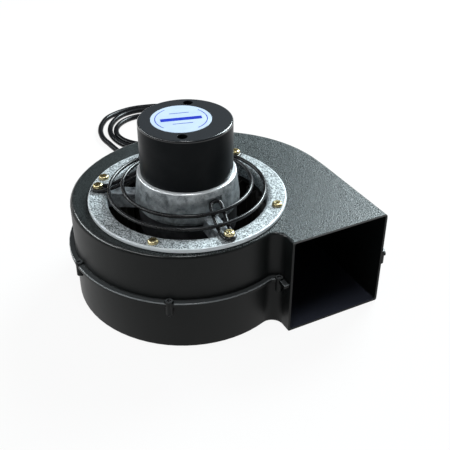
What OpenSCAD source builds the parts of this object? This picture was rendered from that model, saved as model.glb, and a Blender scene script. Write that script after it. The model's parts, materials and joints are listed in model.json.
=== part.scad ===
// Centrifugal fan: a two-part volute housing, a cast motor bracket with a wire inlet guard,
// a capped motor standing on the inlet, a bladed wheel inside and a mains lead.
// The origin lies on the motor axis at the bottom face. +Z runs up the motor axis, +X is the
// way the air leaves, and +Y points across the outlet to the long far wall.

/* [Housing] */
// Height of the volute housing
housing_h = 84; // [82:0.5:100]
// Thickness of the housing's walls
wall = 1.8; // [1.6:0.1:3.2]
// Radius of the scroll's first arc, round the front
scroll_r = 86.3; // [86:0.1:96]
// X of the first arc's centre
scroll_x = -6.3; // [-8:0.1:-5]
// Y of the first arc's centre
scroll_y = -0.2; // [-2:0.1:2]
// Growth of the radius from the first arc to the second
growth_2 = 5.8; // [3:0.1:9]
// Growth of the radius from the second arc to the third
growth_3 = 17.7; // [12:0.1:22]
// Growth of the radius from the third arc to the fourth
growth_4 = -5.2; // [-8:0.1:-2]
// Distance from the motor axis to the outlet's mouth
outlet_x = 92.3; // [90:0.1:130]
// Width of the outlet, outside
outlet_w = 84.4; // [76:0.1:88]
// Radius of the hollow corner at the tongue
tongue_r = 9; // [7:0.1:12]

/* [Seam] */
// Height of the seam between the two halves
seam_z = 43.8; // [36:0.1:50]
// How far the seam's flange stands out from the wall
flange_w = 4.6; // [2:0.1:6]
// Thickness of the flange on each half
flange_t = 1.5; // [1:0.1:3]
// Radius of the screw bosses on the seam
boss_r = 2.8; // [2.6:0.1:4]
// Length of a boss below the seam
boss_low = 9.4; // [6:0.1:16]
// Length of a boss above the seam
boss_high = 2.7; // [2:0.1:10]
// Diameter of the seam screws
seam_screw_d = 2.9; // [2:0.1:3.5]
// Diameter of the seam screws' heads
seam_head_d = 4.6; // [4:0.1:5]
// Height of the seam screws' heads
seam_head_h = 1.6; // [1.2:0.1:3]

/* [Motor bracket] */
// Thickness of the gasket under the ring
gasket_t = 0.8; // [0.5:0.1:2]
// Outer radius of the bracket's ring
ring_r = 77.5; // [76:0.1:79]
// Thickness of the ring
ring_t = 3.1; // [2.5:0.1:6]
// Rounding of the ring's outer edge
ring_round = 1.3; // [0.5:0.1:2]
// Width of the ring, from the inlet's throat to its edge
ring_w = 15.3; // [14.5:0.1:16.5]
// Radius of the bell mouth that leads into the throat
bell_r = 4.6; // [3:0.1:5]
// Thickness of the lip below the bell mouth
lip_t = 1.4; // [1:0.1:1.6]
// Depth of the lip below the housing's top
lip_depth = 8; // [5:0.1:8.5]
// Outer radius of the collar that holds the motor
collar_r = 40.8; // [40.2:0.1:42]
// Distance from the collar's outside to the stator
collar_t = 3.8; // [3.4:0.1:4.3]
// Height of the collar's rim above the housing's top
collar_rise = 25; // [23:0.1:30]
// How far the collar's wall leans in from its foot to its rim
collar_draft = 2.4; // [1:0.1:2.6]
// Rounding of the collar's rim
shoulder_r = 1; // [0.5:0.1:1.5]
// Width of the three arms
arm_w = 11; // [8:0.1:14]
// Depth of the three arms
arm_h = 12; // [6:0.1:12.5]
// Width of the window in the collar above each arm
window_w = 13; // [12.6:0.1:14]
// Diameter of the bracket's screws
m4_d = 4; // [3:0.1:4.4]
// Diameter of the bracket's screw heads
m4_head_d = 8; // [6:0.1:9]
// Height of the bracket's screw heads
m4_head_h = 2.6; // [2:0.1:3.5]
// Distance of the ring screws from the ring's edge
ring_screw_in = 5.9; // [5:0.1:6.5]
// Depth of the posts that the ring screws bite into, below the top wall
post_h = 3; // [2:0.1:3.5]

/* [Wire guard] */
// Diameter of the guard's wire
wire_d = 3; // [2:0.1:3.3]
// Place of the lower wire ring, as a share of the way from the collar to the throat
low_wire_share = 0.925; // [0.75:0.005:0.95]
// Place of the upper wire ring, as a share of the same way
high_wire_share = 0.43; // [0.25:0.01:0.55]
// Distance of each hairpin leg from its middle
leg_y = 4.1; // [3.8:0.1:4.2]
// Distance of the guard screws from the ring's edge
guard_screw_in = 7.2; // [6.5:0.1:8]
// Height of the hairpins' inner ends above the ring
hairpin_rise = 9.8; // [8:0.1:11]
// Distance from the throat out to where the hairpins leave the ring and rise
hairpin_land = 1.2; // [1:0.1:4]

/* [Motor] */
// Height of the stator stack
stack_h = 25; // [22:0.5:26]
// Height of the stack's top below the collar's rim
stack_drop = 6; // [5:0.5:8]
// Radius of the rotor
rotor_r = 20; // [18:0.1:20.4]
// Gap between the rotor and the stator
air_gap = 0.35; // [0.3:0.05:0.6]
// Diameter of the motor shaft
shaft_d = 8; // [6:0.1:9]
// Outer diameter of the bearing bushes
bush_d = 14; // [12:0.1:16]
// Length of the bearing bushes
bush_h = 10; // [8:0.1:11]
// Radial play of the shaft in its bushes
running_gap = 0.04; // [0.02:0.01:0.08]
// Radius of the motor cap
cap_r = 35.7; // [35:0.1:36]
// Height of the motor cap
cap_h = 42; // [38:0.5:60]
// Wall of the motor cap
cap_wall = 2.5; // [2:0.1:3]
// Rounding of the cap's top edge
cap_round = 1.4; // [0.5:0.1:1.9]
// Radius of the circle of the two long motor bolts
bolt_circle_r = 28.3; // [28:0.1:28.8]
// Diameter of the wells in the cap above the bolts
well_d = 7.6; // [7.4:0.1:8]
// Depth of the wells
well_h = 12; // [8:0.5:16]
// Radius of the round label on the cap
label_r = 22.8; // [15:0.1:23]

/* [Wheel] */
// Outer radius of the wheel
wheel_r = 70; // [66:0.1:71]
// Height of the wheel's underside above the bottom face
wheel_z = 10; // [8:0.5:14]
// Distance from the wheel's rim to the housing's top
wheel_drop = 10; // [9.5:0.5:14]
// Thickness of the wheel's back plate and rim
plate_t = 2.5; // [2:0.1:4]
// Radial depth of the blades
blade_depth = 10.5; // [8:0.1:11]
// Radius of the blades' curve
blade_curve = 8; // [7:0.1:12]
// Thickness of a blade
blade_t = 1.2; // [0.8:0.1:1.6]
// Number of blades
blade_count = 40; // [24:1:48]
// Radius of the hub's flange
hub_flange_r = 18; // [17:0.1:24]
// Radius of the hub's barrel
hub_r = 10; // [8.5:0.1:11]
// Height of the hub above the back plate
hub_h = 18; // [14:0.5:24]
// Diameter of the hub's grub screw
grub_d = 5; // [3:0.1:6]

/* [Lead] */
// Diameter of the lead
lead_d = 6; // [5:0.1:6.4]
// Height of the lead's exit above the cap's foot
exit_h = 6; // [6:0.1:7]
// Length of the strain relief outside the cap
boot_l = 25; // [20:0.5:40]

/* [Hidden] */
$fn = 96;

// Clearances: between seated pieces, between a screw and its hole, and the overshoot of a cut
seat_gap = 0.05;
hole_gap = 0.1;
over = 1;
// Overlap that joins two shapes of one piece
bite = 0.6;

// Scroll: four arcs that meet tangentially at these angles, then the straight far wall
joint_a = [-45, -135, -225, -270];
centre_1 = [scroll_x, scroll_y];
centre_2 = centre_1 - growth_2 * dir(joint_a[0]);
centre_3 = centre_2 - growth_3 * dir(joint_a[1]);
centre_4 = centre_3 - growth_4 * dir(joint_a[2]);
centre = [centre_1, centre_2, centre_3, centre_4];
radius_2 = scroll_r + growth_2;
radius_3 = radius_2 + growth_3;
radius_4 = radius_3 + growth_4;
radius = [scroll_r, radius_2, radius_3, radius_4];
far_y = centre_4.y + radius_4;
near_y = far_y - outlet_w;

// Tongue: a hollow fillet between the first arc and the near wall of the outlet
tongue_y = near_y - tongue_r;
tongue_x = centre_1.x + sqrt(pow(scroll_r + tongue_r, 2) - pow(tongue_y - centre_1.y, 2));
tongue_c = [tongue_x, tongue_y];
tongue_a = atan2(tongue_y - centre_1.y, tongue_x - centre_1.x);
tongue_steps = 10;
arc_from = [tongue_a, joint_a[0], joint_a[1], joint_a[2]];
arc_step = 5;

// Seam bosses: on the arcs, in the tongue's corner and on the far wall
boss_out = seam_head_d / 2 + hole_gap;
boss_places = [
    arc_point(0, -32.6),
    arc_point(1, -88),
    arc_point(2, -150),
    arc_point(2, -205),
    arc_point(3, -250),
    tongue_c + (tongue_r - boss_out) * dir(115),
    [outlet_x - boss_r - 2, far_y + boss_out],
];
flange_end = 1.5;

// Heights of the bracket and the motor
ring_z = housing_h + gasket_t;
ring_top = ring_z + ring_t;
throat_r = ring_r - ring_w;
bell_c = [throat_r + bell_r, ring_top - bell_r];
lip_z = housing_h - lip_depth;
lip_r = throat_r + lip_t;
lip_gap = 3.4;
opening_r = lip_r + lip_gap;
gasket_r = ring_r - 1.2;
collar_top = housing_h + collar_rise;
collar_z = housing_h - 2;
collar_band_z = housing_h + 1;
stack_top = collar_top - stack_drop;
stack_z = stack_top - stack_h;
stator_r = collar_r - collar_t;
bore_r = stator_r + seat_gap;
ledge_r = stator_r - 3;
skirt_r = collar_r - 1.8;
shoulder_c = [collar_r - collar_draft - shoulder_r, collar_top - shoulder_r];
arm_z = ring_top - arm_h;
window_top = collar_top - 6;
window_r = bore_r + 0.7;
arm_angles = [0, 120, 240];
// Angle from each arm to its window, because the windows stand a little beside the arms
window_leans = [6.5, 0, -13];
// Angle where the collar's revolved faces start, in the plain wall between two windows
collar_seam_a = 60;
ring_screw_angles = [47.5, 135, 225, 315];
ring_screw_r = ring_r - ring_screw_in;
ring_shank = ring_t + gasket_t + wall + post_h - over;
guard_screw_r = ring_r - guard_screw_in;
post_r = m4_d;
guard_z = ring_top + wire_d / 2 + seat_gap;
guard_head_z = guard_z + wire_d / 2 + seat_gap;
guard_shank = guard_head_z - ring_z;

// Wire guard: the rings lie on the hairpins' legs, which rise towards the collar
low_wire_r = collar_r + (throat_r - collar_r) * low_wire_share;
high_wire_r = collar_r + (throat_r - collar_r) * high_wire_share;
hairpin_bend_r = throat_r + hairpin_land;
hairpin_in_r = window_r + wire_d / 2 + seat_gap;
hairpin_top = guard_z + hairpin_rise;
hairpin_slope = hairpin_rise / (hairpin_bend_r - hairpin_in_r);
weld = 0.4;
wire_lift = (wire_d - weld) / cos(atan(hairpin_slope));
low_wire_z = guard_z + (hairpin_bend_r - low_wire_r) * hairpin_slope + wire_lift;
high_wire_z = guard_z + (hairpin_bend_r - high_wire_r) * hairpin_slope + wire_lift;
turn_steps = 8;
wire_sides = 10;

// Motor: the two long bolts clamp the cap, the bridge and the end shield on the stack
bolt_angles = [-29, 151];
bolt_d = 4;
bolt_head_d = 7;
bolt_head_h = 2.8;
spacer_r = 4.2;
column_r = well_d / 2 + 1.2;
cap_z = collar_top;
cap_top = cap_z + cap_h;
bridge_rise = 13;
bridge_z = stack_top + bridge_rise;
bridge_t = 5;
bridge_w = 14;
bridge_top = bridge_z + bridge_t;
bolt_head_z = cap_top - well_h;
bush_wall = 3.5;
hub_boss_r = bush_d / 2 + bush_wall;
bush_rim = 1;
shaft_clear = 2;
winding_r = 26;
winding_h = 9;
slot_count = 12;
slot_w = 4.5;
slot_r = winding_r + 1;
winding_gap = 0.3;
rotor_ring_h = 3;
rotor_ring_r = rotor_r - 1.5;
shield_drop = 16;
shield_z = stack_z - shield_drop;
shield_t = 3;
shield_r = skirt_r - 0.5;
shield_ledge = 2;
shield_bush_z = shield_z + bush_rim;
bridge_bush_drop = 3;
bridge_bush_z = bridge_z - bridge_bush_drop;
shield_boss_top = shield_bush_z + bush_h + bush_rim;
bridge_boss_top = bridge_bush_z + bush_h + bush_rim;
shaft_over = 4;
shaft_top = bridge_boss_top + shaft_over;
clip_t = 0.8;
label_t = 0.25;
label_c = [-1.4, -2.7];

// Wheel
wheel_top = housing_h - wheel_drop;
plate_top = wheel_z + plate_t;
blade_out_r = wheel_r - 0.6;
blade_in_r = blade_out_r - blade_depth;
rim_in_r = blade_in_r + 4;
blade_lean = 2;
blade_in = [blade_in_r, 0];
blade_out = [sqrt(blade_out_r * blade_out_r - blade_lean * blade_lean), -blade_lean];
blade_chord = blade_out - blade_in;
blade_mid = (blade_in + blade_out) / 2;
blade_side = [blade_chord.y, -blade_chord.x] / norm(blade_chord);
blade_c = blade_mid + blade_side * sqrt(blade_curve * blade_curve - pow(norm(blade_chord) / 2, 2));
blade_from = atan2(blade_out.y - blade_c.y, blade_out.x - blade_c.x);
blade_to = atan2(blade_in.y - blade_c.y, blade_in.x - blade_c.x);
spigot_r = hub_r - 2;
hub_flange_t = 2.5;
shaft_end = wheel_z;
grub_z = plate_top + hub_h * 0.6;
rivet_circle_r = (hub_r + hub_flange_r) / 2;
rivet_r = 1.5;
rivet_head_r = 2.5;
rivet_head_h = 1.2;
rivet_angles = [45, 135, 225, 315];

// Lead: out of the cap's back, over the housing's edge and down to the floor, then a flat coil.
// Points chosen by hand, in millimetres.
lead_points = [
    [-33, 4.64, 115], [-42, 5.9, 115], [-51, 7.17, 115], [-60.5, 8.5, 115], [-70, 10.6, 113.5],
    [-80, 13.7, 109.2], [-90, 17.7, 102.9], [-99.5, 22.1, 95.8], [-108.5, 26.6, 88], [-116, 31.1, 79],
    [-122.5, 35.1, 67.5], [-127, 38, 55],
    [-131, 40, 42], [-136, 41.5, 29.5], [-143, 42.5, 18], [-153, 42.5, 8.6], [-166, 40.5, 4], [-181, 37.5, 3],
    [-197, 34, 3], [-213, 30.5, 3], [-229, 27.3, 3], [-245, 25, 3], [-259.3, 23.4, 3],
];
exit_a = 172;
boot_wall = 1.3;
boot_tip = 0.7;
coil_c = [-273, 88];
coil_start = -78;
// Turned angle against the radius of the coil, and against the shift of its centre in Y
coil_radii = [[0, 66], [60, 66], [110, 57], [150, 55], [320, 57], [372, 55.5], [400, 55], [435, 55],
    [470, 49.5], [510, 48.5], [700, 37], [920, 36]];
coil_shifts = [[0, 0], [490, 0], [700, -12.3], [920, -12.3]];
coil_in_r = 45;
tail_from = 500;
tail_to = 912;
tail_steps = 24;
lead_sides = 10;
core_d = 2.2;
ferrule_d = 1.6;
ferrule_l = 6;
core_starts = [[0, -1.5, 2.1], [0, 1.5, 2.1], [0, 0, 4.3]];
core_ends = [[13, -6, 1.2], [13, 4, 1.2], [14, -0.5, 2]];
tail_points = [for (i = [0:tail_steps]) coil_point(tail_from + (tail_to - tail_from) * i / tail_steps)];
tail_end = tail_points[tail_steps];

// Direction in the plan
function dir(a) = [cos(a), sin(a)];
// Point on one of the scroll's arcs, moved out to the middle of a boss
function arc_point(k, a) = centre[k] + (radius[k] + boss_out) * dir(a);
// Arc as a run of points
function arc(c, r, from, to, n = 6) = [for (i = [0:n]) c + r * dir(from + (to - from) * i / n)];
// Points of one of the scroll's arcs, grown by g, without the first, which ends the run before it
function scroll_arc(k, g) =
    let (n = ceil((arc_from[k] - joint_a[k]) / arc_step))
    let (run = arc(centre[k], radius[k] + g, arc_from[k], joint_a[k], n))
    [for (i = [1:n]) run[i]];
// Plan of the housing, grown by g, or shrunk where g is negative: in along the near wall, round the
// tongue and the four arcs, and out along the far wall. The outlet's end is left at x_end.
function outline(g, x_end) =
    concat([[x_end, near_y - g]], arc(tongue_c, tongue_r - g, 90, 180 + tongue_a, tongue_steps),
        [for (k = [0:3]) each scroll_arc(k, g)], [[x_end, far_y + g]]);
// Rectangle from 0 to depth, its far top corner rounded
function rounded_edge(depth, h, r) =
    concat([[0, 0], [depth, 0]], arc([depth - r, h - r], r, 0, 90), [[0, h]]);
// Place on the coil after a turned angle, clockwise from above
function coil_point(t) =
    concat(coil_c + [0, lookup(t, coil_shifts)] + lookup(t, coil_radii) * dir(coil_start - t), [lead_d / 2]);
// Place in a window, across from its middle by y, seen from the window's arm
function hairpin_end(i, y) =
    concat(hairpin_in_r * dir(window_leans[i]) + y * dir(window_leans[i] + 90), [hairpin_top]);
// Unit vector, and the way a run of points heads at one of them
function unit(v) = v / norm(v);
function heading(pts, i) = unit(pts[min(i + 1, len(pts) - 1)] - pts[max(i - 1, 0)]);
// Ring of points round a place on a route that never runs along the side vector
function tube_ring(p, t, r, sides, side) =
    let (u = unit(cross(t, side)), v = cross(u, t))
    [for (j = [0:sides - 1]) p + r * (cos(360 * j / sides) * u + sin(360 * j / sides) * v)];

// Closed tube along a run of points
module tube(pts, d, sides, side = [0, 0, 1]) {
    n = len(pts);
    rings = [for (i = [0:n - 1]) tube_ring(pts[i], heading(pts, i), d / 2, sides, side)];
    walls = [for (i = [0:n - 2], j = [0:sides - 1])
        let (k = (j + 1) % sides)
        each [
            [i * sides + j, i * sides + k, (i + 1) * sides + k],
            [i * sides + j, (i + 1) * sides + k, (i + 1) * sides + j],
        ]];
    first = [for (j = [sides - 1:-1:0]) j];
    last = [for (j = [0:sides - 1]) (n - 1) * sides + j];
    polyhedron(points = [for (r = rings, p = r) p], faces = concat([first, last], walls), convexity = 8);
}

// Round rod between two points
module rod(p, q, d) {
    v = q - p;
    translate(p) rotate([0, acos(v.z / norm(v)), atan2(v.y, v.x)]) cylinder(d = d, h = norm(v), $fn = 24);
}

// Pan head with a cross recess, its seat at z = 0, and its shank below
module pan_screw(d, l, head_d, head_h) {
    recess = head_d * 0.5;
    slot = head_d * 0.14;
    dome_r = (head_d * head_d / 4 + head_h * head_h) / (2 * head_h) * 1.15;
    difference() {
        intersection() {
            cylinder(d = head_d, h = head_h);
            translate([0, 0, head_h - dome_r]) sphere(dome_r);
        }
        for (a = [0, 90])
            rotate([0, 0, a]) translate([-recess / 2, -slot / 2, head_h * 0.45]) cube([recess, slot, head_h]);
    }
    translate([0, 0, -l]) cylinder(d = d, h = l + head_h * 0.3);
}

// Copies round the motor axis
module around(angles, r) {
    for (a = angles) rotate([0, 0, a]) translate([r, 0, 0]) children();
}

// Hollow half with its flange and bosses, the seam at z = 0
module volute_half(h, boss_h) {
    difference() {
        union() {
            linear_extrude(h) polygon(outline(0, outlet_x));
            linear_extrude(flange_t) polygon(outline(flange_w, outlet_x - flange_end));
            for (p = boss_places) translate(p) cylinder(r = boss_r, h = boss_h);
        }
        translate([0, 0, -over]) linear_extrude(h - wall + over) polygon(outline(-wall, outlet_x + over));
        for (p = boss_places)
            translate([p.x, p.y, -over]) cylinder(d = seam_screw_d + 2 * hole_gap, h = boss_h + 2 * over);
    }
}

// Lower half of the housing, closed below
module lower_housing() {
    color("#26282a") translate([0, 0, seam_z]) mirror([0, 0, 1]) volute_half(seam_z, boss_low);
}

// Upper half of the housing, with the inlet in its top
module upper_housing() {
    color("#2b2d2f") difference() {
        union() {
            translate([0, 0, seam_z]) volute_half(housing_h - seam_z, boss_high);
            around(ring_screw_angles, ring_screw_r)
                translate([0, 0, housing_h - wall - post_h]) cylinder(r = post_r, h = post_h + wall / 2);
        }
        translate([0, 0, seam_z]) cylinder(r = opening_r, h = housing_h);
        around(ring_screw_angles, ring_screw_r)
            translate([0, 0, housing_h - wall - post_h - over])
                cylinder(d = m4_d + 2 * hole_gap, h = post_h + wall + 2 * over);
    }
}

// Screws that hold the two halves together, pushed up from below
module seam_screws() {
    color("silver")
        for (p = boss_places)
            translate([p.x, p.y, seam_z - boss_low]) mirror([0, 0, 1])
                pan_screw(seam_screw_d, boss_low + boss_high - 1, seam_head_d, seam_head_h);
}

// Gasket between the ring and the housing
module ring_gasket() {
    color("#151515") translate([0, 0, housing_h]) difference() {
        cylinder(r = gasket_r, h = gasket_t);
        translate([0, 0, -over]) cylinder(r = opening_r, h = gasket_t + 2 * over);
        around(ring_screw_angles, ring_screw_r)
            translate([0, 0, -over]) cylinder(d = m4_d + 2 * hole_gap, h = gasket_t + 2 * over);
        around(arm_angles, guard_screw_r)
            translate([0, 0, -over]) cylinder(d = m4_d + 2 * hole_gap, h = gasket_t + 2 * over);
    }
}

// Cast ring on the housing, with the bell mouth of the inlet
module bracket_ring() {
    color("#b4b9bd") difference() {
        rotate_extrude() polygon(concat([[lip_r, ring_z], [lip_r, lip_z], [throat_r, lip_z]],
            arc(bell_c, bell_r, 180, 90),
            arc([ring_r - ring_round, ring_top - ring_round], ring_round, 90, 0), [[ring_r, ring_z]]));
        around(ring_screw_angles, ring_screw_r)
            translate([0, 0, ring_z - over]) cylinder(d = m4_d + 2 * hole_gap, h = ring_t + 2 * over);
        around(arm_angles, guard_screw_r)
            translate([0, 0, ring_z - over]) cylinder(d = m4_d + 2 * hole_gap, h = ring_t + 2 * over);
    }
}

// Three arms that carry the collar, cut to the space between it and the ring
module bracket_arms() {
    space = concat([[skirt_r + seat_gap, arm_z - over], [throat_r - seat_gap, arm_z - over]],
        arc(bell_c, bell_r + seat_gap, 180, 90),
        [[collar_r + seat_gap, ring_top + seat_gap], [collar_r + seat_gap, collar_band_z - seat_gap],
        [skirt_r + seat_gap, collar_band_z - seat_gap]]);
    color("#b4b9bd") intersection() {
        rotate_extrude() polygon(space);
        for (a = arm_angles)
            rotate([0, 0, a]) translate([ledge_r, -arm_w / 2, arm_z]) cube([ring_r - ledge_r, arm_w, arm_h]);
    }
}

// Collar that holds the motor, with a window above each arm
module motor_collar() {
    color("#b4b9bd") difference() {
        rotate([0, 0, collar_seam_a]) rotate_extrude() polygon(concat([[bore_r, collar_z], [skirt_r, collar_z],
            [skirt_r, collar_band_z], [collar_r, collar_band_z], [collar_r, ring_top]],
            arc(shoulder_c, shoulder_r, 0, 90), [[ledge_r, collar_top],
            [ledge_r, stack_top + seat_gap], [bore_r, stack_top + seat_gap]]));
        for (i = [0:2])
            rotate([0, 0, arm_angles[i] + window_leans[i]]) translate([window_r, -window_w / 2, ring_top])
                cube([collar_r, window_w, window_top - ring_top]);
    }
}

// Screws that hold the ring on the housing
module ring_screws() {
    color("#c9a84a") around(ring_screw_angles, ring_screw_r)
        translate([0, 0, ring_top]) rotate([0, 0, 20]) pan_screw(m4_d, ring_shank, m4_head_d, m4_head_h);
}

// Lower, wider ring of the wire guard
module guard_low_ring() {
    color("#101010") rotate_extrude() translate([low_wire_r, low_wire_z]) circle(d = wire_d, $fn = 24);
}

// Upper, smaller ring of the wire guard
module guard_high_ring() {
    color("#101010") rotate_extrude() translate([high_wire_r, high_wire_z]) circle(d = wire_d, $fn = 24);
}

// Hairpin wires that carry the rings: round a screw at one end, closed by a bar in a collar window
// at the other
module guard_hairpins() {
    turn = [for (i = [0:turn_steps])
        concat([guard_screw_r, 0] + leg_y * dir(-90 + 180 * i / turn_steps), [guard_z])];
    bar_y = leg_y + wire_d / 2;
    color("#101010") for (i = [0:2]) rotate([0, 0, arm_angles[i]]) {
        tube(concat([hairpin_end(i, -leg_y), [hairpin_bend_r, -leg_y, guard_z]], turn,
            [[hairpin_bend_r, leg_y, guard_z], hairpin_end(i, leg_y)]), wire_d, wire_sides);
        rod(hairpin_end(i, -bar_y), hairpin_end(i, bar_y), wire_d);
    }
}

// Screws that clamp the hairpins on the ring
module guard_screws() {
    color("#c9a84a") around(arm_angles, guard_screw_r)
        translate([0, 0, guard_head_z]) rotate([0, 0, 35]) pan_screw(m4_d, guard_shank, m4_head_d, m4_head_h);
}

// Laminated stator with its slots and the two bolt holes
module stator_core() {
    color("#5d6064") translate([0, 0, stack_z]) difference() {
        cylinder(r = stator_r, h = stack_h);
        translate([0, 0, -over]) cylinder(r = rotor_r + air_gap, h = stack_h + 2 * over);
        for (i = [0:slot_count - 1])
            rotate([0, 0, 360 * (i + 0.5) / slot_count]) translate([rotor_r - over, -slot_w / 2, -over])
                cube([slot_r - rotor_r + over, slot_w, stack_h + 2 * over]);
        around(bolt_angles, bolt_circle_r)
            translate([0, 0, -over]) cylinder(d = bolt_d + 2 * hole_gap, h = stack_h + 2 * over);
    }
}

// Copper winding: bars in the slots and a ring of end turns above and below the stack
module stator_winding() {
    in_r = rotor_r + air_gap + 1;
    color("#b5651d") difference() {
        union() {
            for (z = [stack_z - winding_h, stack_top])
                translate([0, 0, z]) difference() {
                    cylinder(r = winding_r, h = winding_h);
                    translate([0, 0, -over]) cylinder(r = in_r, h = winding_h + 2 * over);
                }
            for (i = [0:slot_count - 1])
                rotate([0, 0, 360 * (i + 0.5) / slot_count])
                    translate([in_r + winding_gap, -slot_w / 2 + winding_gap, stack_z - bite])
                        cube([winding_r - in_r - 2 * winding_gap, slot_w - 2 * winding_gap,
                            stack_h + 2 * bite]);
        }
        around(bolt_angles, bolt_circle_r) {
            translate([0, 0, stack_top - over])
                cylinder(r = spacer_r + winding_gap, h = winding_h + 2 * over);
            translate([0, 0, stack_z - winding_h - over])
                cylinder(r = spacer_r + winding_gap, h = winding_h + over);
        }
    }
}

// Cup below the collar that closes the motor and holds the lower bush
module end_shield() {
    color("#1c1d1f") difference() {
        union() {
            difference() {
                translate([0, 0, shield_z]) cylinder(r = shield_r, h = collar_z - shield_z);
                translate([0, 0, shield_z + shield_t]) cylinder(r = stator_r - shield_ledge, h = collar_z);
                translate([0, 0, stack_z - seat_gap]) cylinder(r = bore_r, h = collar_z);
            }
            translate([0, 0, shield_z]) cylinder(r = hub_boss_r, h = shield_boss_top - shield_z);
            around(bolt_angles, bolt_circle_r)
                translate([0, 0, shield_z]) cylinder(r = spacer_r, h = stack_z - seat_gap - shield_z);
        }
        translate([0, 0, shield_bush_z]) cylinder(d = bush_d + 2 * seat_gap, h = bush_h + bush_rim + over);
        translate([0, 0, shield_z - over]) cylinder(d = shaft_d + shaft_clear, h = bush_h);
        around(bolt_angles, bolt_circle_r)
            translate([0, 0, shield_z + shield_t]) cylinder(d = bolt_d + 2 * hole_gap, h = stack_z);
    }
}

// Bearing bush with the shaft's running fit in its bore
module bush() {
    color("#b08d57") difference() {
        cylinder(d = bush_d, h = bush_h);
        translate([0, 0, -over]) cylinder(d = shaft_d + 2 * running_gap, h = bush_h + 2 * over);
    }
}

// Bush in the end shield
module lower_bush() {
    translate([0, 0, shield_bush_z]) bush();
}

// Bush in the bridge
module upper_bush() {
    translate([0, 0, bridge_bush_z]) bush();
}

// Bridge across the top of the stack that holds the upper bush
module upper_bridge() {
    color("#a9adb0") difference() {
        union() {
            rotate([0, 0, bolt_angles[0]]) translate([-bolt_circle_r, -bridge_w / 2, bridge_z])
                cube([2 * bolt_circle_r, bridge_w, bridge_t]);
            translate([0, 0, bridge_bush_z - bush_rim])
                cylinder(r = hub_boss_r, h = bridge_boss_top - bridge_bush_z + bush_rim);
            around(bolt_angles, bolt_circle_r)
                translate([0, 0, stack_top + seat_gap])
                    cylinder(r = spacer_r, h = bridge_top - stack_top - seat_gap);
        }
        translate([0, 0, bridge_bush_z]) cylinder(d = bush_d + 2 * seat_gap, h = bush_h + bush_rim + over);
        translate([0, 0, bridge_bush_z - bush_rim - over]) cylinder(d = shaft_d + shaft_clear, h = bush_h);
        around(bolt_angles, bolt_circle_r)
            translate([0, 0, stack_top - over])
                cylinder(d = bolt_d + 2 * hole_gap, h = bridge_top - stack_top + 2 * over);
    }
}

// Round cap over the motor, with two deep wells for the bolts and a hole for the lead
module motor_cap() {
    color("#141516") difference() {
        union() {
            difference() {
                translate([0, 0, cap_z]) rotate_extrude() polygon(rounded_edge(cap_r, cap_h, cap_round));
                translate([0, 0, cap_z - over]) cylinder(r = cap_r - cap_wall, h = cap_h - cap_wall + over);
            }
            around(bolt_angles, bolt_circle_r)
                translate([0, 0, bridge_top + seat_gap])
                    cylinder(r = column_r, h = cap_top - cap_wall / 2 - bridge_top - seat_gap);
        }
        around(bolt_angles, bolt_circle_r) {
            translate([0, 0, bolt_head_z]) cylinder(d = well_d, h = well_h + over);
            translate([0, 0, bridge_z]) cylinder(d = bolt_d + 2 * hole_gap, h = cap_top - bridge_z - over);
        }
        rotate([0, 0, exit_a]) translate([cap_r - 2 * cap_wall, 0, cap_z + exit_h]) rotate([0, 90, 0])
            cylinder(d = lead_d + 2 * boot_wall + 4 * seat_gap, h = 3 * cap_wall);
    }
}

// Long bolts from the wells down into the end shield
module motor_bolts() {
    shank = bolt_head_z - (shield_z + shield_t + over);
    color("silver") around(bolt_angles, bolt_circle_r)
        translate([0, 0, bolt_head_z]) pan_screw(bolt_d, shank, bolt_head_d, bolt_head_h);
}

// Round paper label, stuck a little off the middle of the cap
module cap_label() {
    color("#dfe8f0") translate([label_c.x, label_c.y, cap_top]) cylinder(r = label_r, h = label_t);
}

// Tapered strain relief that grips the lead in the cap's wall
module cable_boot() {
    bore = lead_d / 2 + seat_gap;
    neck_r = bore + boot_wall;
    flange = 2;
    flange_r = min(neck_r + flange, exit_h - seat_gap);
    in = cap_r - cap_wall - over;
    out = cap_r + seat_gap;
    color("#0e0e0e") rotate([0, 0, exit_a]) translate([0, 0, cap_z + exit_h]) rotate([0, 90, 0])
        rotate_extrude() polygon([[bore, in], [neck_r, in], [neck_r, out], [flange_r, out],
            [flange_r, out + flange], [neck_r, out + 2 * flange], [bore + boot_tip, out + boot_l],
            [bore, out + boot_l]]);
}

// Lead from the cap down to the floor and along it to the coil
module lead_run() {
    color("#0c0c0c") tube(lead_points, lead_d, lead_sides, [0, 1, 0]);
}

// Outer shape of the coil's two wide turns
module lead_coil() {
    out_r = lookup(0, coil_radii) + lead_d / 2 + 0.3;
    color("#0c0c0c") translate(coil_c) difference() {
        cylinder(r = out_r, h = lead_d);
        translate([0, 0, -over]) cylinder(r = coil_in_r, h = lead_d + 2 * over);
    }
}

// Inner loop of the lead, inside the coil
module lead_tail() {
    color("#0c0c0c") tube(tail_points, lead_d, lead_sides);
}

// Three bare-ended cores at the end of the lead
module lead_cores() {
    foot = [tail_end.x, tail_end.y, 0];
    shades = ["saddlebrown", "royalblue", "olivedrab"];
    for (i = [0:2]) color(shades[i]) rod(foot + core_starts[i], foot + core_ends[i], core_d);
}

// Crimped ferrules on the cores
module core_ferrules() {
    foot = [tail_end.x, tail_end.y, 0];
    color("silver") for (i = [0:2]) {
        along = unit(core_ends[i] - core_starts[i]);
        rod(foot + core_ends[i], foot + core_ends[i] + ferrule_l * along, ferrule_d);
    }
}

// Shaft through both bushes, down to the wheel
module motor_shaft() {
    color("#c4c7ca") translate([0, 0, shaft_end]) cylinder(d = shaft_d, h = shaft_top - shaft_end);
}

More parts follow.
